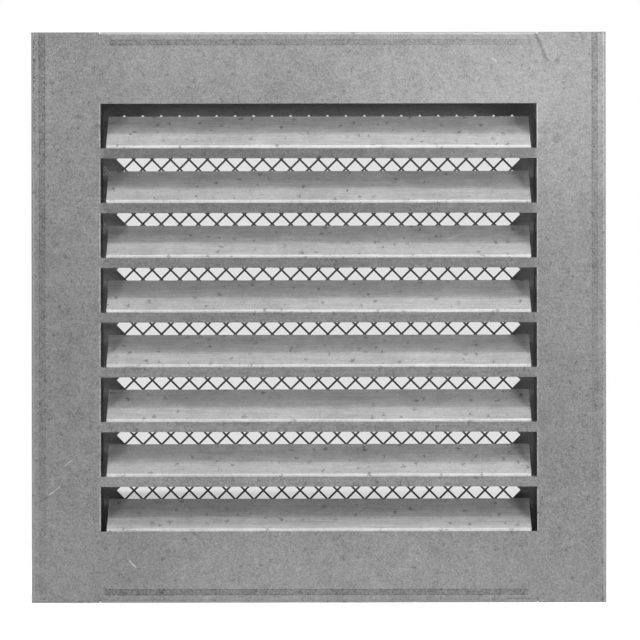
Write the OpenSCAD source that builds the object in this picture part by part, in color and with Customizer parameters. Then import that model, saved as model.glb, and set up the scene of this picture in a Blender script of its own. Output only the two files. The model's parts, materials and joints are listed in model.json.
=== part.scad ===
// Ventilation grille folded from galvanised sheet. Louvre blades are cut from the face and bent
// back, the edges fold into a shallow case with lips that lie on the wall, and a pierced screen
// rests inside on the lips. Width runs along X and height along Z. Depth runs along Y, with the
// face towards -Y and the lips towards +Y. The origin is the middle of the grille.

/* [Louvres] */
// Number of louvres, one above the other
louvre_count = 8; // [3:1:16]
// Width of the slots, which is the width of the louvre field
louvre_w = 199.3; // [120:0.1:500]
// Height of each slot, the strip of sheet that its blade is cut from
slot_h = 20.4; // [12:0.1:30]
// Height of the bar of sheet left between two slots
bar_h = 4.6; // [3:0.1:12]
// Angle between a blade and the face
blade_angle = 45; // [25:1:65]
// Inner radius of the bend at a blade's foot
blade_bend_r = 1; // [0.5:0.1:2]
// Width of the cut along a blade's free edge
blade_kerf = 0.4; // [0.2:0.1:2]
// Gap between a blade and the end of its slot, at the blade's foot
foot_gap = 2.6; // [0.5:0.1:6]
// The same gap at the blade's free edge
tip_gap = 3.5; // [0.5:0.1:8]

/* [Case] */
// Thickness of the folded sheet
sheet_t = 1; // [0.6:0.1:1.5]
// Width of the face beside the slots
side_border = 31.55; // [15:0.05:60]
// Height of the face above the top slot, and below the bottom slot
end_border = 32.6; // [15:0.05:60]
// Inner radius of the folds along the edges
fold_r = 0.6; // [0.3:0.1:2]
// Width of the flat corner at each end of the top and bottom flaps
corner_w = 31.5; // [8:0.1:60]
// Width of the relief cut between a flap and its corner
relief_w = 0.5; // [0.4:0.1:3]
// How far the relief cut runs past the start of the fold
relief_run = 0.2; // [0.2:0.1:3]
// Width of the lips at the two sides
side_lip_w = 36.5; // [8:0.1:60]
// Width of the lips at the top and bottom
end_lip_w = 36; // [8:0.1:60]
// Gap between neighbouring lips where they meet in the corners
lip_gap = 0.5; // [0.2:0.1:3]

/* [Screen] */
// Thickness of the screen
screen_t = 0.8; // [0.5:0.1:1.5]
// Gap between the blades' free edges and the screen
screen_gap = 10.7; // [1:0.1:20]
// How far the screen lies over each lip
screen_lap = 4.1; // [2:0.1:8]
// Side of each square hole, which stands on its corner
hole = 5.1; // [3:0.1:5.5]
// Distance between neighbouring holes of one row
hole_pitch_x = 8.48; // [8.2:0.01:12]
// Distance between every second row
hole_pitch_z = 8.44; // [8.2:0.01:12]
// Least band of plain sheet between the holes and the lips
screen_margin = 1; // [0.5:0.1:6]
// How far the screen was fitted off the middle, to the right
screen_shift_x = -0.15; // [-0.5:0.05:0.5]
// How far the screen was fitted off the middle, upwards
screen_shift_z = 0.8; // [-1:0.05:1]

/* [Hidden] */
$fn = 64;

galvanised = [0.66, 0.67, 0.68];
weathered = [0.48, 0.49, 0.50];

// Outer radii of the bends
blade_bend_out = blade_bend_r + sheet_t;
fold_out = fold_r + sheet_t;

// Each bend starts in the flat sheet, and runs over it this far so that the two join
overlap = sheet_t;

// Louvre field, and the case round it
louvre_pitch = slot_h + bar_h;
field_h = louvre_count * louvre_pitch - bar_h;
case_w = louvre_w + 2 * side_border;
case_h = field_h + 2 * end_border;

// A blade keeps the length that its slot gave it, less the cut and what the bend takes up
bend_length = (blade_bend_r + sheet_t / 2) * blade_angle * PI / 180;
blade_l = slot_h - blade_kerf - bend_length;
blade_rise = blade_bend_out * sin(blade_angle) + blade_l * cos(blade_angle);
blade_d = blade_bend_out - blade_bend_r * cos(blade_angle) + blade_l * sin(blade_angle);

// Depths from the face: the screen's front, the lips' front and the back of the case
screen_y = blade_d + screen_gap;
lip_y = screen_y + screen_t;
case_d = lip_y + sheet_t;

// Opening between the lips, and the screen that covers it
opening_w = case_w - 2 * side_lip_w;
opening_h = case_h - 2 * end_lip_w;
screen_w = opening_w + 2 * screen_lap;
screen_h = opening_h + 2 * screen_lap;
hole_diagonal = hole * sqrt(2);
hole_columns = floor((opening_w - hole_diagonal - 2 * screen_margin) / hole_pitch_x) + 1;
hole_rows = floor((opening_h - hole_diagonal - 2 * screen_margin) / hole_pitch_z) + 1;

// Top and bottom flaps, and the relief cuts at their ends
flap_w = case_w - 2 * corner_w;
end_lip_length = opening_w - 2 * lip_gap;
relief_d = fold_out + relief_run;

// A flat outline drawn in X and Z, as thick as given, with its front at y = 0
module facing(thickness) {
    translate([0, thickness, 0])
        rotate([90, 0, 0])
            linear_extrude(height = thickness)
                children();
}

// A section drawn in Z and Y, run along X and centred on it
module along_x(length) {
    rotate([0, -90, 0])
        linear_extrude(height = length, center = true)
            children();
}

// Section of a bend of up to 90 degrees, and its children where it ends
module bend(angle, inner_r) {
    outer_r = inner_r + sheet_t;
    reach = 2 * outer_r;
    translate([0, outer_r]) {
        intersection() {
            difference() {
                circle(r = outer_r);
                circle(r = inner_r);
            }
            polygon([
                [0, 0],
                [0, -reach],
                [reach * tan(angle / 2), -reach],
                [reach * sin(angle), -reach * cos(angle)]
            ]);
        }
        rotate(angle)
            translate([0, -outer_r])
                children();
    }
}

// Section of a strip of sheet that starts flat, bends and runs on straight
module bent_strip(angle, inner_r, run) {
    square([overlap, sheet_t]);
    translate([overlap, 0])
        bend(angle, inner_r)
            square([run, sheet_t]);
}

// Section of an edge of the case: fold, wall, fold and lip
module edge_section(lip_w) {
    square([overlap, sheet_t]);
    translate([overlap, 0])
        bend(90, fold_r) {
            square([case_d - 2 * fold_out, sheet_t]);
            translate([case_d - 2 * fold_out, 0])
                bend(90, fold_r)
                    square([lip_w - fold_out, sheet_t]);
        }
}

// Outline of the face, less what folds back at the top and bottom
module face_outline() {
    difference() {
        square([case_w - 2 * fold_out, case_h], center = true);
        for (end = [-1, 1]) {
            translate([0, end * case_h / 2])
                square([flap_w, 2 * fold_out], center = true);
            for (side = [-1, 1])
                translate([side * (flap_w + relief_w) / 2, end * case_h / 2])
                    square([relief_w, 2 * relief_d], center = true);
        }
    }
}

// Heights of the slots' lower edges, where the blades bend
function slot_bottom(i) = i * louvre_pitch - field_h / 2;

module face() {
    facing(sheet_t)
        difference() {
            face_outline();
            for (i = [0 : louvre_count - 1])
                translate([-louvre_w / 2, slot_bottom(i)])
                    square([louvre_w, slot_h]);
        }
}

// One blade, bent up and back from z = 0, with ends that taper towards its free edge
module blade() {
    foot = louvre_w / 2 - foot_gap;
    tip = louvre_w / 2 - tip_gap;
    intersection() {
        translate([0, 0, -overlap])
            along_x(louvre_w)
                bent_strip(blade_angle, blade_bend_r, blade_l);
        facing(blade_d)
            polygon([
                [-foot, -overlap],
                [foot, -overlap],
                [foot, 0],
                [tip, blade_rise],
                [-tip, blade_rise],
                [-foot, 0]
            ]);
    }
}

// Side wall and lip on the right, along the whole height
module side_edge() {
    translate([case_w / 2 - fold_out - overlap, 0, -case_h / 2])
        linear_extrude(height = case_h)
            edge_section(side_lip_w);
}

// Top flap: a wall as wide as the flap, and a lip that fits between the side lips
module top_edge() {
    difference() {
        translate([0, 0, case_h / 2 - fold_out - overlap])
            along_x(flap_w)
                edge_section(end_lip_w);
        for (side = [-1, 1])
            translate([side * (end_lip_length + case_w) / 2, case_d, case_h / 2])
                cube([case_w, 2 * (sheet_t + lip_gap), 4 * end_lip_w], center = true);
    }
}

// Moves what is drawn from the face backwards so that the middle of the depth is at y = 0
module centred() {
    translate([0, -case_d / 2, 0])
        children();
}

module louvred_case() {
    color(galvanised)
        centred() {
            face();
            for (i = [0 : louvre_count - 1])
                translate([0, 0, slot_bottom(i)])
                    blade();
            side_edge();
            mirror([1, 0, 0])
                side_edge();
            top_edge();
            mirror([0, 0, 1])
                top_edge();
        }
}

// A grid of holes on their corners, centred
module hole_grid(columns, rows) {
    for (column = [0 : columns - 1], row = [0 : rows - 1])
        translate([
            (column - (columns - 1) / 2) * hole_pitch_x,
            (row - (rows - 1) / 2) * hole_pitch_z
        ])
            rotate(45)
                square(hole, center = true);
}

module screen() {
    color(weathered)
        centred()
            translate([screen_shift_x, screen_y, screen_shift_z])
                facing(screen_t)
                    difference() {
                        square([screen_w, screen_h], center = true);
                        hole_grid(hole_columns, hole_rows);
                        hole_grid(hole_columns - 1, hole_rows - 1);
                    }
}

louvred_case();
screen();
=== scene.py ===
"""The looks of a ventilation grille: the finishes of its sheets, and the studio it stands in.

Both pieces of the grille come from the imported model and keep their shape. This script gives
each of them a finish made of nodes, and puts a floor, lamps, a backdrop and a camera round
them. Places on the grille are in millimetres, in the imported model's frame: x to the right,
y backwards from the face, z upwards. Places in the studio are in metres.
"""

import json
import logging
import math
from dataclasses import dataclass, field
from enum import Enum
from typing import Any

import bpy
import numpy as np
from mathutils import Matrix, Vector

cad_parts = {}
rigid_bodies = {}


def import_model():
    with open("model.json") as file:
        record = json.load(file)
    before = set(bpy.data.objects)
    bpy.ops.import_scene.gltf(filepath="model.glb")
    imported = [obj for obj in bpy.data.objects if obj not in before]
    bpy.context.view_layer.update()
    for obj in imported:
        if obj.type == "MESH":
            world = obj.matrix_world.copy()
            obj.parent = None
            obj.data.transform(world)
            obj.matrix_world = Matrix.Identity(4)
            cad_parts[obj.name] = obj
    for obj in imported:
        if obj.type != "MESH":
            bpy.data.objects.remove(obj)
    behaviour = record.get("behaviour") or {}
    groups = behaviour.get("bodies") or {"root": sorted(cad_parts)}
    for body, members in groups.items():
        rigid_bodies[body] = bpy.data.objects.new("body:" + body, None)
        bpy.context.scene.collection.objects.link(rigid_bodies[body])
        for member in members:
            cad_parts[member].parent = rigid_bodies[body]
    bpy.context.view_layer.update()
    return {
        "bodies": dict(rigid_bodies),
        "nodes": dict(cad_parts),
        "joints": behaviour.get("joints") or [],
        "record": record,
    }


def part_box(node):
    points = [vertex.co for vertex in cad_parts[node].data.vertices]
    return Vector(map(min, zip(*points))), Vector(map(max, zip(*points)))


MM_PER_M = 1000.0
SMOOTH = "SMOOTHSTEP"
STRAIGHT = "LINEAR"

log = logging.getLogger("grille")


class Wire:
    """One value that runs between nodes. Arithmetic on it adds Math nodes."""

    def __init__(self, bench: "Bench", socket: bpy.types.NodeSocket | None) -> None:
        """Keeps the socket and the bench that it belongs to."""
        self.bench = bench
        self.socket = socket

    def maths(self, operation: str, *values: Any) -> "Wire":
        """Adds one Math node.

        Args:
            operation: Blender's name of the operation.
            values: its inputs in order, each a wire or a number.

        Returns:
            The node's result.
        """
        return self.bench.node("ShaderNodeMath", {"operation": operation}, dict(enumerate(values)))

    def __add__(self, other: Any) -> "Wire":
        """Sum."""
        return self.maths("ADD", self, other)

    def __radd__(self, other: Any) -> "Wire":
        """Sum with a number in front."""
        return self.maths("ADD", other, self)

    def __sub__(self, other: Any) -> "Wire":
        """Difference."""
        return self.maths("SUBTRACT", self, other)

    def __rsub__(self, other: Any) -> "Wire":
        """Difference from a number."""
        return self.maths("SUBTRACT", other, self)

    def __mul__(self, other: Any) -> "Wire":
        """Product."""
        return self.maths("MULTIPLY", self, other)

    def __truediv__(self, other: Any) -> "Wire":
        """Quotient."""
        return self.maths("DIVIDE", self, other)

    def __mod__(self, other: Any) -> "Wire":
        """Remainder, which is never negative."""
        return self.maths("FLOORED_MODULO", self, other)

    def __abs__(self) -> "Wire":
        """Size without its sign."""
        return self.maths("ABSOLUTE", self)

    def step(self, kind: str, low: Any, high: Any, start: float, end: float) -> "Wire":
        """Adds one Map Range node.

        Args:
            kind: SMOOTH or STRAIGHT.
            low: value up to which the result is the start.
            high: value from which the result is the end.
            start: first result.
            end: last result.

        Returns:
            The node's result.
        """
        sockets = {0: self, 1: low, 2: high, 3: start, 4: end}
        return self.bench.node("ShaderNodeMapRange", {"interpolation_type": kind}, sockets)

    def rise(self, low: "Wire | float", high: "Wire | float") -> "Wire":
        """Smooth step up: 0 below low and 1 above high."""
        return self.step(SMOOTH, low, high, 0.0, 1.0)

    def fall(self, low: "Wire | float", high: "Wire | float") -> "Wire":
        """Smooth step down: 1 below low and 0 above high."""
        return self.step(SMOOTH, low, high, 1.0, 0.0)

    def ramp(self, low: float, high: float, start: float = 0.0, end: float = 1.0) -> "Wire":
        """Straight change from start at low to end at high, and level beyond them."""
        return self.step(STRAIGHT, low, high, start, end)

    def root(self) -> "Wire":
        """Square root."""
        return self.maths("SQRT", self)

    def within(self, low: float, high: float, soft: float) -> "Wire":
        """Band between two values.

        Args:
            low: lower edge.
            high: upper edge.
            soft: width over which each edge fades.

        Returns:
            1 inside the band and 0 outside it.
        """
        half = soft / 2
        return self.rise(low - half, low + half) * self.fall(high - half, high + half)


class Bench:
    """The node tree of a material or of the world, while its nodes are put together."""

    def __init__(self, tree: bpy.types.NodeTree) -> None:
        """Empties the tree."""
        self.tree = tree
        tree.nodes.clear()

    def node(
        self,
        kind: str,
        settings: dict[str, Any] | None = None,
        sockets: dict[Any, Any] | None = None,
        output: int | str = 0,
    ) -> Wire:
        """Adds a node of any kind.

        Args:
            kind: Blender's name of the node type.
            settings: properties of the node, which are set first.
            sockets: inputs by number or name, each a wire or a plain value.
            output: which output to return.

        Returns:
            That output, or a wire from nowhere if the node has none.
        """
        node = self.tree.nodes.new(kind)
        for name, value in (settings or {}).items():
            setattr(node, name, value)
        for key, value in (sockets or {}).items():
            if isinstance(value, Wire):
                self.tree.links.new(value.socket, node.inputs[key])
            else:
                node.inputs[key].default_value = value
        return Wire(self, node.outputs[output] if node.outputs else None)

    def vector_maths(self, operation: str, *values: Any, output: int | str = 0) -> Wire:
        """Adds one Vector Math node with these inputs in order, and returns its result."""
        sockets = dict(enumerate(values))
        return self.node("ShaderNodeVectorMath", {"operation": operation}, sockets, output)

    def axes(self, vector: Wire) -> list[Wire]:
        """A vector's three numbers."""
        return [self.node("ShaderNodeSeparateXYZ", sockets={0: vector}, output=axis) for axis in "XYZ"]

    def tinted(self, colour: tuple[float, float, float], tone: Wire) -> Wire:
        """A colour made lighter or darker by a tone, where 1 leaves it as it is."""
        tint = self.vector_maths("MULTIPLY", colour, (1.0, 1.0, 1.0))
        return self.node("ShaderNodeVectorMath", {"operation": "SCALE"}, {0: tint, "Scale": tone})

    def noise(
        self,
        place: Wire,
        grain: tuple[float, float, float],
        detail: float = 2.0,
        roughness: float = 0.5,
    ) -> Wire:
        """Cloudy noise.

        Args:
            place: where on the piece, in millimetres.
            grain: size of one cloud along x, y and z, in millimetres.
            detail: number of finer layers.
            roughness: strength of the finer layers.

        Returns:
            Noise about 0, mostly between -0.25 and 0.25.
        """
        stretched = self.vector_maths("DIVIDE", place, grain)
        sockets = {"Vector": stretched, "Scale": 1.0, "Detail": detail, "Roughness": roughness}
        return self.node("ShaderNodeTexNoise", {"noise_dimensions": "3D"}, sockets) - 0.5


@dataclass(frozen=True)
class Place:
    """Object coordinates of a piece in millimetres, as one vector and as three numbers."""

    spot: Wire
    x: Wire
    y: Wire
    z: Wire

    @staticmethod
    def on(bench: Bench) -> "Place":
        """The place of each point of the piece that the bench's material is on."""
        metres = bench.node("ShaderNodeTexCoord", output="Object")
        scale = (MM_PER_M, MM_PER_M, MM_PER_M)
        spot = bench.vector_maths("MULTIPLY", metres, scale)
        return Place(spot, *bench.axes(spot))

    def oval(self, middle: tuple[float, float], reach: tuple[float, float]) -> Wire:
        """Distance in x and z from the middle of an oval, squared, which is 1 at its edge.

        Args:
            middle: its middle as (x, z), in millimetres.
            reach: its half widths in x and z.

        Returns:
            The squared distance.
        """
        px = (self.x - middle[0]) / reach[0]
        pz = (self.z - middle[1]) / reach[1]
        return px * px + pz * pz


# A stroke's tone is even to STROKE_CORE of its width from its middle line, and gone at
# STROKE_EDGE of it. Along the stroke it starts to fade at STROKE_FULL_TO of its half length.
# An oval's tone starts to fade at OVAL_FULL_TO of the way from its middle to its edge.
STROKE_CORE = 0.25
STROKE_EDGE = 0.8
STROKE_FULL_TO = 0.5
OVAL_FULL_TO = 0.1


class Mark(Enum):
    """What a stroke on the face is, as the change of tone at its middle."""

    SCRATCH = 1.05
    HAIRLINE = 0.3
    RUB = 0.09
    TOOL_LINE = 0.16
    DARK_LINE = -0.35
    DARK_SPOT = -0.24


@dataclass(frozen=True)
class Stroke:
    """One mark on the face, from one point (x, z) to another, in millimetres."""

    mark: Mark
    start: tuple[float, float]
    end: tuple[float, float]
    width: float = 0.5
    bow: float = 0.0

    def shade(self, place: Place) -> Wire:
        """How the mark changes the tone.

        The point is turned into the stroke's own frame, with u along it and v across it. The
        stroke's middle line is v = bow * (1 - u squared), where u is 1 at its ends.

        Args:
            place: the piece's coordinates.

        Returns:
            The change at each point, which fades to 0 at the stroke's edges and ends.
        """
        run = np.subtract(self.end, self.start)
        middle = np.add(self.end, self.start) / 2
        half = float(np.hypot(*run)) / 2
        along = run / (2 * half)
        bench = place.spot.bench
        middle_point = (float(middle[0]), 0.0, float(middle[1]))
        offset = bench.vector_maths("SUBTRACT", place.spot, middle_point)
        u_axis = (float(along[0]) / half, 0.0, float(along[1]) / half)
        v_axis = (-float(along[1]), 0.0, float(along[0]))
        u = bench.vector_maths("DOT_PRODUCT", offset, u_axis, output="Value")
        v = bench.vector_maths("DOT_PRODUCT", offset, v_axis, output="Value")
        if self.bow:
            v = v - (1.0 - u * u) * self.bow
        across = abs(v).fall(STROKE_CORE * self.width, STROKE_EDGE * self.width)
        return across * abs(u).step(SMOOTH, STROKE_FULL_TO, 1.0, self.mark.value, 0.0)


@dataclass(frozen=True)
class Strip:
    """A straight band of the face, rubbed dark by the press's clamping edge.

    Its reach is given in x and z, and its change of tone at its left or lower end and at its
    other end. The rest says how softly its sides fade, how much deeper its tone is in the lines
    along them, and how uneven it is.
    """

    x: tuple[float, float]
    z: tuple[float, float]
    shade_start: float
    shade_end: float
    upright: bool
    soft: float = 0.35
    line: float = 0.5
    unevenness: float = 0.7
    line_width: float = 0.45
    line_soft: float = 0.25
    end_soft: float = 1.5

    def shade(self, place: Place, noise: Wire) -> Wire:
        """How the strip changes the tone.

        Its depth goes evenly from one end to the other, is uneven by the noise, and is
        greater along the two long edges.

        Args:
            place: the piece's coordinates.
            noise: noise about 0.

        Returns:
            The change inside the strip, and 0 outside it.
        """
        along, ends, across, sides = place.x, self.x, place.z, self.z
        if self.upright:
            along, ends, across, sides = place.z, self.z, place.x, self.x
        depth = along.ramp(*ends, self.shade_start, self.shade_end)
        middle = (sides[0] + sides[1]) / 2
        reach = (sides[1] - sides[0]) / 2
        edges = abs(across - middle).within(reach - self.line_width, reach + 0.1, self.line_soft)
        inside = across.within(*sides, self.soft) * along.within(*ends, self.end_soft)
        return inside * depth * (1.0 + edges * self.line - noise * self.unevenness)


@dataclass(frozen=True)
class Crease:
    """A kinked dent in the face: points (x, z) along its line from the top, in millimetres.

    Its slope is painted dark as shade over this width, and a painted highlight lies beside it on the
    right.
    """

    points: tuple[tuple[float, float], ...] = (
        (99.1, 129.2),
        (100.6, 126.1),
        (101.9, 122.9),
        (102.7, 120.4),
        (103.4, 118.4),
        (105.2, 116.9),
    )
    width: float = 2.2
    core: float = 0.2
    joint_soft: float = 0.4
    light_offset: float = 1.9
    slope_painted_shade: float = 0.32
    slope_painted_highlight: float = 0.12

    def lines(self, place: Place) -> tuple[Wire, Wire]:
        """Masks of its slope painted dark as shade, and of the painted highlight on its right.

        Args:
            place: the piece's coordinates.

        Returns:
            Two masks from 0 to 1.
        """
        reach = (self.core, self.width / 2)
        dark: Any = 0.0
        light: Any = 0.0
        for (x0, z0), (x1, z1) in zip(self.points, self.points[1:]):
            offset = place.x - place.z.ramp(z1, z0, x1, x0)
            inside = place.z.within(z1, z0, self.joint_soft)
            dark = dark + abs(offset).fall(*reach) * inside
            light = light + abs(offset - self.light_offset).fall(*reach) * inside
        return dark, light


@dataclass(frozen=True)
class PaintedLightPatch:
    """An oval pool of painted light on the face, or of painted shade where its lightness is negative.

    Its middle and its half widths are given as (x, z), in millimetres.
    """

    middle: tuple[float, float]
    reach: tuple[float, float]
    painted_lightness: float

    def mask(self, place: Place) -> Wire:
        """1 in its middle, fading to 0 at its edge."""
        return place.oval(self.middle, self.reach).root().fall(OVAL_FULL_TO, 1.0)


@dataclass(frozen=True)
class Smudge:
    """A blotchy light smear on the face: middle and half widths as (x, z), in millimetres."""

    middle: tuple[float, float] = (86.0, -114.0)
    reach: tuple[float, float] = (17.0, 9.0)
    blotch: tuple[float, float, float] = (3.0, 3.0, 5.0)
    blotch_full_at: float = 0.2
    lightness: float = 0.12

    def shade(self, place: Place) -> Wire:
        """How the smear changes the tone."""
        blotches = place.spot.bench.noise(place.spot, self.blotch).rise(0.0, self.blotch_full_at)
        inside = place.oval(self.middle, self.reach).fall(OVAL_FULL_TO, 1.0)
        return inside * blotches * self.lightness


@dataclass(frozen=True)
class Grain:
    """The fine pattern of a dull metal sheet. Sizes are in millimetres, or shares of a cell.

    Clouds, mottle and grit are noises, each with the size of its lumps and its depth. Flecks and
    specks are dark spots and glints are light ones, each with the distance between spots and
    their radius as a share of it. A spot is full to spot_core of its radius and gone at
    spot_edge of it. Streaks are level lines on the blades and bars.
    """

    mottle_size: float = 7.0
    mottle_depth: float = 0.62
    grit_size: float = 0.7
    grit_depth: float = 1.05
    face_grit: float = 0.8
    blade_calm: float = 0.75
    cloud_size: float = 38.0
    cloud_depth: float = 0.3
    fleck_cell: float = 5.2
    fleck_size: float = 0.16
    blade_fleck_size: float = 0.2
    fleck_reach: float = 3.6
    fleck_depth: float = 0.17
    fleck_wear: float = 0.4
    blade_fleck_depth: float = 0.48
    speck_cell: float = 2.6
    speck_size: float = 0.14
    speck_reach: float = 1.0
    speck_depth: float = 0.14
    speck_wear: float = 0.35
    glint_cell: float = 3.4
    glint_size: float = 0.11
    glint_reach: float = 2.0
    glint_lightness: float = 0.24
    warp_scale: float = 1.25
    cell_stretch: float = 1.3
    spot_core: float = 0.6
    spot_edge: float = 1.1
    streak_length: float = 20.0
    streak_height: float = 0.7
    streak_depth: float = 0.5

    def mottle(self, bench: Bench, spot: Wire) -> tuple[Wire, Wire]:
        """Change of tone by cloudy noises.

        Args:
            bench: the material's bench.
            spot: place on the piece, in millimetres.

        Returns:
            The change by clouds and mottle, and the change by fine grit.
        """
        clouds = bench.noise(spot, (self.cloud_size,) * 3, 2.0) * self.cloud_depth
        patches = bench.noise(spot, (self.mottle_size,) * 3, 3.0, 0.85) * self.mottle_depth
        grit = bench.noise(spot, (self.grit_size,) * 3, 1.0, 0.7) * self.grit_depth
        return clouds + patches, grit

    def streaks(self, bench: Bench, spot: Wire) -> Wire:
        """Change of tone by fine level lines, which the sheet got in rolling."""
        lines = (self.streak_length, self.streak_height, self.streak_height)
        return bench.noise(spot, lines, 2.0) * self.streak_depth

    def warp(self, bench: Bench, spot: Wire) -> Wire:
        """Noise as a vector, which bends the scattered spots out of shape."""
        sockets = {"Vector": spot, "Scale": self.warp_scale, "Detail": 1.0}
        return bench.node("ShaderNodeTexNoise", {"noise_dimensions": "3D"}, sockets, "Color")

    def scattered(
        self,
        bench: Bench,
        spot: Wire,
        warp: Wire,
        reach: float,
        cell: float,
        size: Wire | float,
    ) -> Wire:
        """Irregular spots, one round a random point of each cell.

        Args:
            bench: the material's bench.
            spot: place on the piece, in millimetres.
            warp: the vector noise.
            reach: how far it bends the spots, in millimetres.
            cell: distance between neighbouring points, in millimetres.
            size: radius of a spot as a share of the cell.

        Returns:
            1 in a spot, 0 outside it.
        """
        bent = bench.vector_maths("MULTIPLY_ADD", warp, (reach,) * 3, spot)
        cells = bench.vector_maths("DIVIDE", bent, (cell, cell, self.cell_stretch * cell))
        sockets = {"Vector": cells, "Scale": 1.0, "Randomness": 1.0}
        distance = bench.node("ShaderNodeTexVoronoi", {"feature": "F1"}, sockets, "Distance")
        return distance.fall(size * self.spot_core, size * self.spot_edge)

    def spots(
        self,
        bench: Bench,
        spot: Wire,
        front: Wire,
        blades: Wire,
        wear_and_painted_shade: Wire,
    ) -> tuple[Wire, Wire]:
        """Flecks, specks and glints together.

        On the face the dark ones are deeper where the face is painted darker. On the blades the
        flecks are larger, and only the face has glints.

        Args:
            bench: the material's bench.
            spot: place on the piece, in millimetres.
            front: mask of the face.
            blades: mask of the blades.
            wear_and_painted_shade: how much darker the face is painted, as shade.

        Returns:
            The flecks' mask, and the change of tone by all three.
        """
        warp = self.warp(bench, spot)
        fleck_size = blades * (self.blade_fleck_size - self.fleck_size) + self.fleck_size
        flecks = self.scattered(bench, spot, warp, self.fleck_reach, self.fleck_cell, fleck_size)
        specks = self.scattered(bench, spot, warp, self.speck_reach, self.speck_cell, self.speck_size)
        glints = self.scattered(bench, spot, warp, self.glint_reach, self.glint_cell, self.glint_size)
        face_depth = (wear_and_painted_shade * self.fleck_wear + self.fleck_depth) * (1.0 - blades)
        fleck_shade = flecks * (face_depth + blades * self.blade_fleck_depth)
        speck_shade = specks * (wear_and_painted_shade * self.speck_wear + self.speck_depth)
        return flecks, front * glints * self.glint_lightness - fleck_shade - speck_shade


@dataclass(frozen=True)
class GalvanisedFinish:
    """Dull galvanised sheet, mottled and flecked, with painted shade that darkens its face."""

    slot: str = "galvanised_sheet"
    grey: tuple[float, float, float] = (0.285, 0.285, 0.286)
    # Painted shade: how much darker the face is painted than the blades.
    face_painted_shade: float = 0.425
    metallic: float = 0.3
    roughness: float = 0.5
    mottle_roughness: float = 0.35
    mark_roughness: float = 0.1
    grain: Grain = field(default_factory=Grain)
    bump_depth: float = 0.00012
    bump_strength: float = 0.6
    grit_relief: float = 0.6


@dataclass(frozen=True)
class ScreenFinish:
    """Dull, darkened sheet of the pierced screen."""

    slot: str = "screen_sheet"
    grey: tuple[float, float, float] = (0.25, 0.25, 0.251)
    metallic: float = 0.3
    roughness: float = 0.55
    mottle_roughness: float = 0.4
    grain: Grain = field(default_factory=Grain)
    bump_depth: float = 0.0001
    bump_strength: float = 0.6


@dataclass(frozen=True)
class SpotWelds:
    """Marks of the spot welds that hold the screen to the lips, in millimetres."""

    line_x: float = 96.8
    line_z: float = 96.4
    spacing: float = 48.0
    radius: float = 1.9
    ring_share: tuple[float, float] = (0.75, 1.35)
    ring_soft: float = 0.5
    core_share: tuple[float, float] = (0.6, 0.8)
    ring_depth: float = 0.28
    core_lightness: float = 0.1
    core_relief: float = 4.0

    def rings(self, place: Place) -> tuple[Wire, Wire]:
        """Welds on two upright and two level lines, each line spaced evenly from its middle.

        Args:
            place: the piece's coordinates.

        Returns:
            Masks of the blued ring and of the pressed core.
        """
        half = self.spacing / 2
        inner, outer = (self.radius * share for share in self.ring_share)
        core_full, core_gone = (self.radius * share for share in self.core_share)
        ring: Any = 0.0
        core: Any = 0.0
        for along, across, line in (
            (place.z, place.x, self.line_x),
            (place.x, place.z, self.line_z),
        ):
            a = (along + half) % self.spacing - half
            b = abs(across) - line
            distance = (a * a + b * b).root()
            ring = ring + distance.within(inner, outer, self.ring_soft)
            core = core + distance.fall(core_full, core_gone)
        return ring, core


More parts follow.
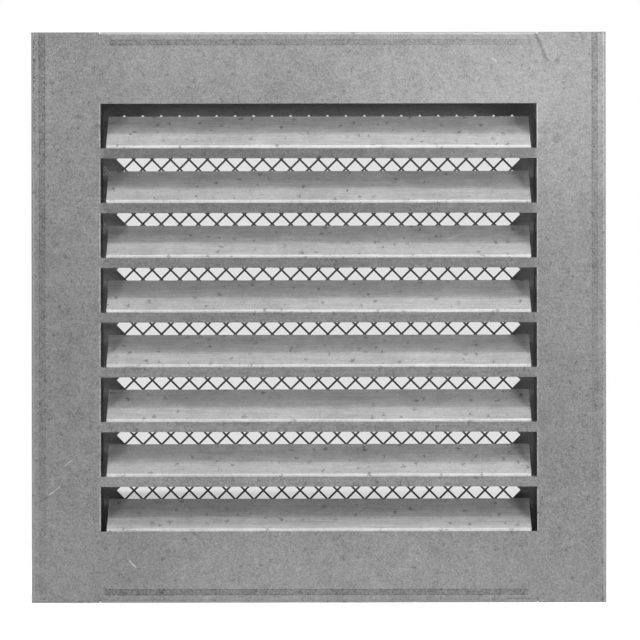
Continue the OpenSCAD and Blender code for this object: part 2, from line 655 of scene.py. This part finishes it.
@dataclass
class LouvredCase:
    """The folded case with its eight blades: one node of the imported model.

    The pairs from face_depth to rear_skin are the distances between which a mask fades, in
    millimetres: from the middle, the face, a blade's foot or the case's own box. Only burr_soft
    is two widths, across and upwards, over which the burrs fade.
    """

    node: str = "louvred_case"
    louvre_pitch: float = 25.0
    slot_height: float = 20.4
    lowest_slot: float = -97.7
    field_half_width: float = 99.65
    face_depth: tuple[float, float] = (0.1, 0.4)
    field_ends: tuple[float, float] = (96.65, 101.15)
    field_soft: float = 0.3
    fold_start: tuple[float, float] = (120.0, 122.0)
    fold_depth: tuple[float, float] = (1.2, 1.8)
    bar_soft: float = 0.4
    burr_width: float = 0.5
    burr_soft: tuple[float, float] = (0.15, 0.3)
    bend_ends: tuple[float, float] = (96.85, 97.25)
    bend_height: tuple[float, float] = (1.2, 1.6)
    bend_depth: tuple[float, float] = (0.8, 0.9)
    blade_foot: tuple[float, float] = (-0.4, -0.2)
    blade_reach: tuple[float, float] = (14.8, 15.2)
    blade_half_width: float = 95.0
    lowest_blade_shade_start: tuple[float, float] = (1.5, 4.5)
    lowest_blade_edge: tuple[float, float] = (18.0, 19.0)
    outer_skin: tuple[float, float] = (0.6, 0.4)
    rear_skin: tuple[float, float] = (0.4, 0.1)
    finish: GalvanisedFinish = field(default_factory=GalvanisedFinish)
    welds: SpotWelds = field(default_factory=SpotWelds)
    crease: Crease = field(default_factory=Crease)
    strips: tuple[Strip, ...] = (
        Strip((-127.8, -124.8), (-129.0, 129.8), -0.08, -0.3, True),
        Strip((124.7, 127.5), (-129.0, 130.2), 0.0, -0.28, True),
        Strip((-95.6, 97.2), (124.3, 127.0), -0.3, -0.14, False),
        Strip((-98.3, 95.8), (-126.8, -124.0), -0.34, -0.26, False),
        Strip((-130.4, -129.7), (60.0, 127.0), -0.05, -0.45, True, 0.3, 0.0, 7.0),
        Strip((129.6, 130.2), (-60.0, 124.0), -0.06, -0.2, True, 0.3, 0.0, 5.0),
    )
    strokes: tuple[Stroke, ...] = (
        Stroke(Mark.SCRATCH, (-87.0, -110.2), (-83.0, -114.5), 0.55, -0.35),
        Stroke(Mark.SCRATCH, (-124.2, -81.7), (-117.2, -76.4), 0.3),
        Stroke(Mark.SCRATCH, (-117.4, -68.6), (-111.9, -64.5), 0.3),
        Stroke(Mark.SCRATCH, (78.8, 118.6), (81.7, 116.6), 0.3),
        Stroke(Mark.HAIRLINE, (-107.7, 42.2), (-105.8, 37.6), 0.5),
        Stroke(Mark.HAIRLINE, (-124.1, 35.3), (-119.1, 28.5), 0.5),
        Stroke(Mark.HAIRLINE, (-74.9, -105.1), (-70.0, -109.7), 0.5, 0.5),
        Stroke(Mark.HAIRLINE, (117.0, -101.6), (123.8, -106.2), 0.5),
        Stroke(Mark.HAIRLINE, (97.8, -129.2), (104.0, -129.2), 0.7),
        Stroke(Mark.RUB, (-122.0, -72.3), (-124.7, -78.8), 1.6, 1.8),
        Stroke(Mark.RUB, (-122.7, -37.7), (-114.5, -49.1), 1.8, -1.5),
        Stroke(Mark.RUB, (-124.3, -124.5), (-118.0, -120.0), 1.6, 0.8),
        Stroke(Mark.RUB, (-30.5, -108.0), (-28.0, -118.0), 1.6, 1.0),
        Stroke(Mark.TOOL_LINE, (-125.0, 100.6), (-121.0, 100.6), 0.5),
        Stroke(Mark.TOOL_LINE, (-125.0, 50.4), (-121.0, 50.4), 0.5),
        Stroke(Mark.TOOL_LINE, (-125.0, 0.2), (-121.0, 0.2), 0.5),
        Stroke(Mark.TOOL_LINE, (-107.0, 100.6), (-99.8, 100.6), 0.5),
        Stroke(Mark.TOOL_LINE, (-107.0, 50.4), (-99.8, 50.4), 0.5),
        Stroke(Mark.TOOL_LINE, (-107.0, 0.2), (-99.8, 0.2), 0.5),
        Stroke(Mark.TOOL_LINE, (103.2, -32.5), (110.2, -32.5), 0.5),
        Stroke(Mark.TOOL_LINE, (120.2, -32.5), (124.2, -32.5), 0.5),
        Stroke(Mark.TOOL_LINE, (103.2, -82.7), (110.2, -82.7), 0.5),
        Stroke(Mark.TOOL_LINE, (120.2, -82.7), (124.2, -82.7), 0.5),
        Stroke(Mark.DARK_LINE, (102.2, -32.5), (103.1, -32.5), 0.8),
        Stroke(Mark.DARK_LINE, (118.8, -32.5), (119.7, -32.5), 0.8),
        Stroke(Mark.DARK_LINE, (98.3, 129.3), (99.6, 129.3), 1.0),
        Stroke(Mark.DARK_LINE, (84.0, -128.4), (98.6, -128.4), 0.5),
        Stroke(Mark.DARK_LINE, (129.5, -121.8), (129.6, -127.4), 0.5),
        Stroke(Mark.DARK_LINE, (128.4, -129.8), (130.9, -127.0), 0.9),
        Stroke(Mark.DARK_SPOT, (92.0, 115.2), (93.4, 114.7), 1.5),
        Stroke(Mark.DARK_SPOT, (95.5, 113.5), (96.7, 112.9), 1.5),
        Stroke(Mark.DARK_SPOT, (86.2, 116.2), (88.4, 116.0), 0.9),
        Stroke(Mark.DARK_SPOT, (80.0, 107.9), (81.0, 108.5), 1.2),
        Stroke(Mark.DARK_SPOT, (107.6, 117.6), (110.4, 116.4), 2.2),
        Stroke(Mark.DARK_SPOT, (110.6, 107.3), (113.4, 107.1), 1.0),
        Stroke(Mark.DARK_SPOT, (107.0, 79.5), (111.0, 84.5), 3.4),
        Stroke(Mark.DARK_SPOT, (-122.6, 107.8), (-121.6, 107.6), 1.1),
        Stroke(Mark.DARK_SPOT, (-121.4, 117.4), (-120.0, 117.0), 1.2),
    )
    blade_strokes: tuple[Stroke, ...] = (
        Stroke(Mark.HAIRLINE, (58.6, 35.9), (64.0, 37.3), 0.6),
        Stroke(Mark.HAIRLINE, (62.5, 37.6), (68.0, 38.6), 0.6),
        Stroke(Mark.DARK_SPOT, (-85.5, 42.0), (-84.0, 43.2), 1.4),
    )
    # Painted shade on the bars between the slots: a little lighter at the lowest, much darker at the
    # top.
    bar_painted_shades: tuple[float, float] = (0.1, -0.45)
    smudge: Smudge = field(default_factory=Smudge)
    # Ovals of painted light on the face, strongest at the top right, and one oval of painted shade on
    # the left.
    painted_light_patches: tuple[PaintedLightPatch, ...] = (
        PaintedLightPatch((85.0, 115.0), (140.0, 110.0), 0.3),
        PaintedLightPatch((10.0, -120.0), (130.0, 45.0), 0.11),
        PaintedLightPatch((-60.0, 118.0), (80.0, 45.0), 0.1),
        PaintedLightPatch((-120.0, -10.0), (40.0, 90.0), -0.06),
    )
    inside_painted_shade: float = 0.32
    fold_wear_and_shade: float = 0.5
    burr_painted_highlight: float = 0.55
    bend_painted_highlight: float = 0.22
    end_blade_painted_light: tuple[float, float] = (0.1, -0.28)
    blade_side_painted_light: tuple[float, float] = (-0.03, 0.07)

    def regions(self, place: Place, face_y: float) -> dict[str, Wire]:
        """Which part of the folded sheet a point is on.

        A blade's front is where the rise above its foot is more than the depth behind the face.

        Args:
            place: the piece's coordinates.
            face_y: depth of the face's front, in millimetres.

        Returns:
            Masks of the face's front, of the folds at the side edges, of the bars between the
            slots, of the burrs at the slots' ends, of the bends at the blades' feet, of the blades'
            fronts with those bends, and of the inside of the case, which is all but the blades'
            fronts and the outer skin.
        """
        depth = place.y - face_y
        across = abs(place.x)
        field_x = across.fall(*self.field_ends)
        field_z = place.z.within(self.lowest_slot, -self.lowest_slot, self.field_soft)
        rise = (place.z - self.lowest_slot) % self.louvre_pitch
        foot = across.fall(*self.bend_ends) * field_z * rise.fall(*self.bend_height)
        bend = foot * depth.fall(*self.bend_depth)
        front = depth.fall(*self.face_depth) * (1.0 - bend)
        folds = (1.0 - front) * across.rise(*self.fold_start) * depth.fall(*self.fold_depth)
        bars = field_x * field_z * rise.rise(self.slot_height - self.bar_soft, self.slot_height)
        slot_end = self.field_half_width
        soft_x, soft_z = self.burr_soft
        burrs = across.within(slot_end, slot_end + self.burr_width, soft_x) * field_z
        burrs = burrs * rise.fall(self.slot_height - soft_z, self.slot_height)
        above_foot = (rise - depth).rise(*self.blade_foot)
        sloping = (1.0 - front) * field_x * above_foot * depth.fall(*self.blade_reach)
        blades = sloping.maths("MAXIMUM", sloping, bend)
        low, high = (corner * MM_PER_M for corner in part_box(self.node))
        start, full = self.outer_skin
        skin = (start + full) / 2
        within_x = across.fall(high.x - start, high.x - full)
        within_y = depth.within(skin, high.y - low.y - skin, start - full)
        within_z = abs(place.z).fall(high.z - start, high.z - full)
        inside = (1.0 - blades) * within_x * within_z * within_y
        return {
            "front": front,
            "folds": folds,
            "bars": front * bars,
            "burrs": front * burrs,
            "bends": bend,
            "blades": blades,
            "inside": inside,
        }

    def blade_painted_light(self, place: Place) -> Wire:
        """How the blades differ in tone, by painted light and shade.

        The topmost is painted lighter than the others. The lowest is painted darker between its foot
        and its free edge. All are painted a little lighter towards the right.

        Args:
            place: the piece's coordinates.

        Returns:
            The change of tone.
        """
        top, bottom = self.end_blade_painted_light
        highest_foot = -self.lowest_slot - self.slot_height
        topmost = place.z.rise(highest_foot, highest_foot + 1.0)
        rise = place.z - self.lowest_slot
        lowest = rise.rise(*self.lowest_blade_shade_start) * rise.fall(*self.lowest_blade_edge)
        half = self.blade_half_width
        sideways = place.x.ramp(-half, half, *self.blade_side_painted_light)
        return topmost * top + lowest * bottom + sideways

    def wear_and_painted_shade(self, place: Place) -> Wire:
        """How much darker the face is painted than the blades, as painted shade.

        Args:
            place: the piece's coordinates.

        Returns:
            A share, which is least round the pools of painted light and even away from them.
        """
        # The face is painted darker than the blades as shade, less so in the pools of painted light.
        share: Any = self.finish.face_painted_shade
        for patch in self.painted_light_patches:
            share = share - patch.mask(place) * patch.painted_lightness
        return share

    def marks(self, place: Place, grit: Wire, crease: tuple[Wire, Wire]) -> Wire:
        """All the marks on the face, with the crease's painted shade and highlight, as one change of
        tone.

        Args:
            place: the piece's coordinates.
            grit: noise about 0, which makes the strips uneven.
            crease: masks of the crease's painted shade and painted highlight.

        Returns:
            The change of tone.
        """
        dark, light = crease
        # Painted shade on the crease's slope and a painted highlight beside it.
        marks = light * self.crease.slope_painted_highlight - dark * self.crease.slope_painted_shade
        marks = marks + self.smudge.shade(place)
        for strip in self.strips:
            marks = marks + strip.shade(place, grit)
        for stroke in self.strokes:
            marks = marks + stroke.shade(place)
        return marks

    def dress(self, frame: dict[str, Any]) -> None:
        """Puts the galvanised finish on the node."""
        face_y, back_y = (corner.y * MM_PER_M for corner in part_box(self.node))
        finish = self.finish
        grain = finish.grain
        material = bpy.data.materials.new(finish.slot)
        material.use_nodes = True
        bench = Bench(material.node_tree)
        place = Place.on(bench)
        region = self.regions(place, face_y)
        front, blades = region["front"], region["blades"]

        wear_and_painted_shade = self.wear_and_painted_shade(place)
        mottle, grit = grain.mottle(bench, place.spot)
        mottle = mottle + grit * (grain.face_grit + wear_and_painted_shade - blades * grain.blade_calm)
        streaks = grain.streaks(bench, place.spot) * (blades + region["bars"])
        flecks, spots = grain.spots(bench, place.spot, front, blades, wear_and_painted_shade)
        tone = 1.0 + mottle + streaks + spots
        for stroke in self.blade_strokes:
            tone = tone + blades * stroke.shade(place)
        crease = self.crease.lines(place)
        marks = self.marks(place, grit, crease)
        worn_and_shaded = front + region["folds"] * self.fold_wear_and_shade
        # Painted shade darkens the face, and the folds by half; the marks go on both.
        tone = (tone + worn_and_shaded * marks) * (1.0 - worn_and_shaded * wear_and_painted_shade)

        # Painted shade: the bars are painted darker than the face, more towards the top.
        bar_painted_shade = place.z.ramp(self.lowest_slot, -self.lowest_slot, *self.bar_painted_shades)
        # A painted highlight lightens the burrs beside the slots' ends.
        tone = tone * (1.0 + region["bars"] * bar_painted_shade + region["burrs"] * self.burr_painted_highlight)
        # Painted shade darkens the inside of the case, where little light reaches.
        inside_painted_darkening = region["inside"] * self.inside_painted_shade
        # Painted highlight along the bends at the blades' feet, where the curve catches the light.
        tone = tone * (1.0 + region["bends"] * self.bend_painted_highlight - inside_painted_darkening)
        # Painted light and shade on the blades: the topmost lighter, the lowest darker, all lighter to
        # the right.
        tone = tone * (1.0 + blades * self.blade_painted_light(place))

        rear = place.y.rise(back_y - self.rear_skin[0], back_y - self.rear_skin[1])
        ring, core = self.welds.rings(place)
        tone = tone - rear * ring * self.welds.ring_depth + rear * core * self.welds.core_lightness

        roughness = mottle * finish.mottle_roughness + finish.roughness
        roughness = roughness + (flecks - front * marks) * finish.mark_roughness
        height = grit * finish.grit_relief - front * crease[0] - rear * core * self.welds.core_relief
        put_on(frame, self.node, material, sheet_shader(bench, finish, tone, roughness, height))


@dataclass
class Screen:
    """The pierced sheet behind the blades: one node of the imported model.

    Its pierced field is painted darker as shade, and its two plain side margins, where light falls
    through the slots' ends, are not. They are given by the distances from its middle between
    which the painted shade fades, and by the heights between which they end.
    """

    node: str = "screen"
    finish: ScreenFinish = field(default_factory=ScreenFinish)
    margin_start: tuple[float, float] = (86.0, 95.0)
    margin_top: tuple[float, float] = (86.0, 92.0)
    field_painted_shade: float = 0.6

    def dress(self, frame: dict[str, Any]) -> None:
        """Puts the screen's finish on the node."""
        material = bpy.data.materials.new(self.finish.slot)
        material.use_nodes = True
        bench = Bench(material.node_tree)
        place = Place.on(bench)
        mottle, grit = self.finish.grain.mottle(bench, place.spot)
        mottle = mottle + grit
        plain = abs(place.x).rise(*self.margin_start) * place.z.fall(*self.margin_top)
        # Painted shade darkens the pierced field; the plain side margins, where light falls, keep
        # their tone.
        tone = (1.0 + mottle) * (1.0 - (1.0 - plain) * self.field_painted_shade)
        roughness = mottle * self.finish.mottle_roughness + self.finish.roughness
        put_on(frame, self.node, material, sheet_shader(bench, self.finish, tone, roughness, mottle))


def sheet_shader(
    bench: Bench,
    finish: GalvanisedFinish | ScreenFinish,
    tone: Wire,
    roughness: Wire,
    height: Wire,
) -> Wire:
    """Adds the shader of a metal sheet.

    Args:
        bench: the material's bench.
        finish: its grey, metallic share and bump.
        tone: how much lighter or darker than the grey each point is, where 1 is as it is.
        roughness: the roughness at each point.
        height: the height of each point for the bump, in bump depths.

    Returns:
        The shader.
    """
    sockets = {"Strength": finish.bump_strength, "Distance": finish.bump_depth, "Height": height}
    return bench.node(
        "ShaderNodeBsdfPrincipled",
        sockets={
            "Base Color": bench.tinted(finish.grey, tone),
            "Metallic": finish.metallic,
            "Roughness": roughness,
            "Normal": bench.node("ShaderNodeBump", sockets=sockets),
        },
    )


def put_on(frame: dict[str, Any], node: str, material: bpy.types.Material, shader: Wire) -> None:
    """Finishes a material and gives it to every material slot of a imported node.

    Args:
        node: the node's name.
        material: the material.
        shader: its shader.
    """
    shader.bench.node("ShaderNodeOutputMaterial", sockets={"Surface": shader})
    slots = frame["nodes"][node].material_slots
    for slot in slots:
        slot.material = material
    log.info("%s: %s on %d slot(s)", node, material.name, len(slots))


@dataclass(frozen=True)
class Lamp:
    """A rectangular soft lamp in the studio, in metres, and its strength in watts."""

    name: str
    place: tuple[float, float, float]
    aim: tuple[float, float, float]
    width: float
    height: float
    watts: float

    def hang(self) -> bpy.types.Object:
        """Makes the lamp and turns it towards what it is aimed at."""
        data = bpy.data.lights.new(self.name, "AREA")
        data.shape = "RECTANGLE"
        data.size = self.width
        data.size_y = self.height
        data.energy = self.watts
        lamp = bpy.data.objects.new(self.name, data)
        lamp.location = self.place
        towards = Vector(self.aim) - Vector(self.place)
        lamp.rotation_euler = towards.to_track_quat("-Z", "Y").to_euler()
        bpy.context.scene.collection.objects.link(lamp)
        return lamp


@dataclass
class Studio:
    """Floor, backdrop, lamps and camera, in metres."""

    floor_height: float = -0.1303
    floor_x: tuple[float, float] = (-1.6, 1.6)
    floor_y: tuple[float, float] = (-2.4, 1.2)
    floor_grey: tuple[float, float, float, float] = (0.6, 0.6, 0.6, 1.0)
    floor_glow: float = 0.7
    camera_distance: float = 4.5
    camera_x: float = 0.00055
    camera_z: float = -0.0012
    camera_roll: float = 0.08
    frame_width: float = 0.29224
    sensor_width: float = 36.0
    camera_side_level: float = 0.05
    backdrop_start: tuple[float, float] = (-0.4, 0.4)
    backdrop_light: float = 0.4
    backdrop_painted_shadow: float = 0.75
    shade_reach: float = 0.0235
    shade_soft: float = 0.001
    low_painted_shadow_rise: tuple[float, float] = (-0.0177, -0.0171)
    low_painted_shadow: float = 0.35
    lamps: tuple[Lamp, ...] = (
        Lamp("overhead_lamp", (0.1, -0.64, 1.52), (0.0, 0.0, 0.0), 0.6, 0.22, 8.5),
        Lamp("front_overhead_lamp", (0.12, -0.9, 1.32), (0.0, 0.0, 0.0), 0.8, 0.8, 11.0),
        Lamp("left_lamp", (-1.2, -1.2, 0.29), (0.0, 0.0, 0.0), 0.4, 0.32, 16.0),
        Lamp("right_lamp", (1.1, -1.1, 0.27), (0.0, 0.0, 0.0), 0.4, 0.32, 19.0),
    )

    def lay_floor(self) -> None:
        """Makes the floor: points over two parameters, x and y, all at the floor's height."""
        x, y = np.meshgrid(np.linspace(*self.floor_x, 2), np.linspace(*self.floor_y, 2))
        points = np.stack([x.ravel(), y.ravel(), np.full(x.size, self.floor_height)], axis=1)
        mesh = bpy.data.meshes.new("floor")
        mesh.from_pydata(points.tolist(), [], [(0, 1, 3, 2)])
        mesh.materials.append(self.floor_material())
        floor = bpy.data.objects.new("floor", mesh)
        bpy.context.scene.collection.objects.link(floor)
        log.info("floor laid at z = %.4f m", self.floor_height)

    def floor_material(self) -> bpy.types.Material:
        """Pale matt floor that glows for the camera, so that it meets the backdrop unseen.

        Returns:
            The floor's material. Its shadows stay, because the glow is only added to them.
        """
        material = bpy.data.materials.new("pale_floor")
        material.use_nodes = True
        bench = Bench(material.node_tree)
        seen = seen_rays(bench)
        matt = bench.node("ShaderNodeBsdfDiffuse", sockets={"Color": self.floor_grey})
        glow = bench.node("ShaderNodeEmission", sockets={"Strength": seen * self.floor_glow})
        both = bench.node("ShaderNodeAddShader", sockets={0: matt, 1: glow})
        bench.node("ShaderNodeOutputMaterial", sockets={"Surface": both})
        return material

    def fill_world(self) -> None:
        """Makes the surroundings: white behind the grille, and softer on the camera's side.

        The tone follows the direction looked in. Straight behind the grille's openings the backdrop is
        painted a pale grey, a painted shadow of the grille. The painted shadow is darker behind the
        lowest opening, most of all on the left. The backdrop is seen white, and gives the grille less
        light than that.
        """
        world = bpy.data.worlds.new("soft_surroundings")
        bpy.context.scene.world = world
        world.use_nodes = True
        bench = Bench(world.node_tree)
        direction = bench.node("ShaderNodeTexCoord", output="Generated")
        dx, dy, dz = bench.axes(direction)
        behind = dy.rise(*self.backdrop_start)
        backdrop = seen_rays(bench) * (1.0 - self.backdrop_light) + self.backdrop_light
        level = behind * backdrop + (1.0 - behind) * self.camera_side_level
        reach = self.shade_reach
        inner = reach - self.shade_soft
        openings = abs(dx).fall(inner, reach) * abs(dz).fall(inner, reach)
        openings = openings * dy.rise(0.0, 0.5)
        leftwards = (0.0 - dx).ramp(-reach, reach)
        low_painted_shadow = dz.fall(*self.low_painted_shadow_rise) * leftwards * self.low_painted_shadow
        # Painted shadow of the grille on the backdrop, seen through its openings.
        level = level * (1.0 - openings * (1.0 - self.backdrop_painted_shadow)) * (1.0 - openings * low_painted_shadow)
        white = (1.0, 1.0, 1.0, 1.0)
        light = bench.node("ShaderNodeBackground", sockets={"Color": white, "Strength": level})
        bench.node("ShaderNodeOutputWorld", sockets={"Surface": light})

    def set_camera(self) -> None:
        """Puts the camera in front of the face, level with the middle of the grille."""
        data = bpy.data.cameras.new("camera")
        data.sensor_width = self.sensor_width
        data.lens = self.sensor_width * self.camera_distance / self.frame_width
        data.clip_end = 100.0
        camera = bpy.data.objects.new("camera", data)
        face_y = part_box("louvred_case")[0].y
        camera.location = (self.camera_x, face_y - self.camera_distance, self.camera_z)
        camera.rotation_euler = (math.radians(90), math.radians(self.camera_roll), 0.0)
        bpy.context.scene.collection.objects.link(camera)
        bpy.context.scene.camera = camera

    def build(self) -> None:
        """Builds the whole studio."""
        bpy.context.scene.view_settings.view_transform = "Standard"
        self.set_camera()
        self.lay_floor()
        self.fill_world()
        for lamp in self.lamps:
            lamp.hang()
            log.info("%s hung, %.0f W", lamp.name, lamp.watts)


def seen_rays(bench: Bench) -> Wire:
    """1 for rays from the camera, from gloss and through glass, and 0 for all others."""
    path = [
        bench.node("ShaderNodeLightPath", output=name)
        for name in ("Is Camera Ray", "Is Glossy Ray", "Is Transmission Ray")
    ]
    return path[0].maths("MAXIMUM", path[0].maths("MAXIMUM", path[0], path[1]), path[2])


def main() -> None:
    """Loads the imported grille, dresses its two pieces and builds the studio."""
    logging.basicConfig(level=logging.INFO, format="%(name)s: %(message)s")
    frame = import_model()
    Studio().build()
    LouvredCase().dress(frame)
    Screen().dress(frame)


if __name__ == "__main__":
    main()
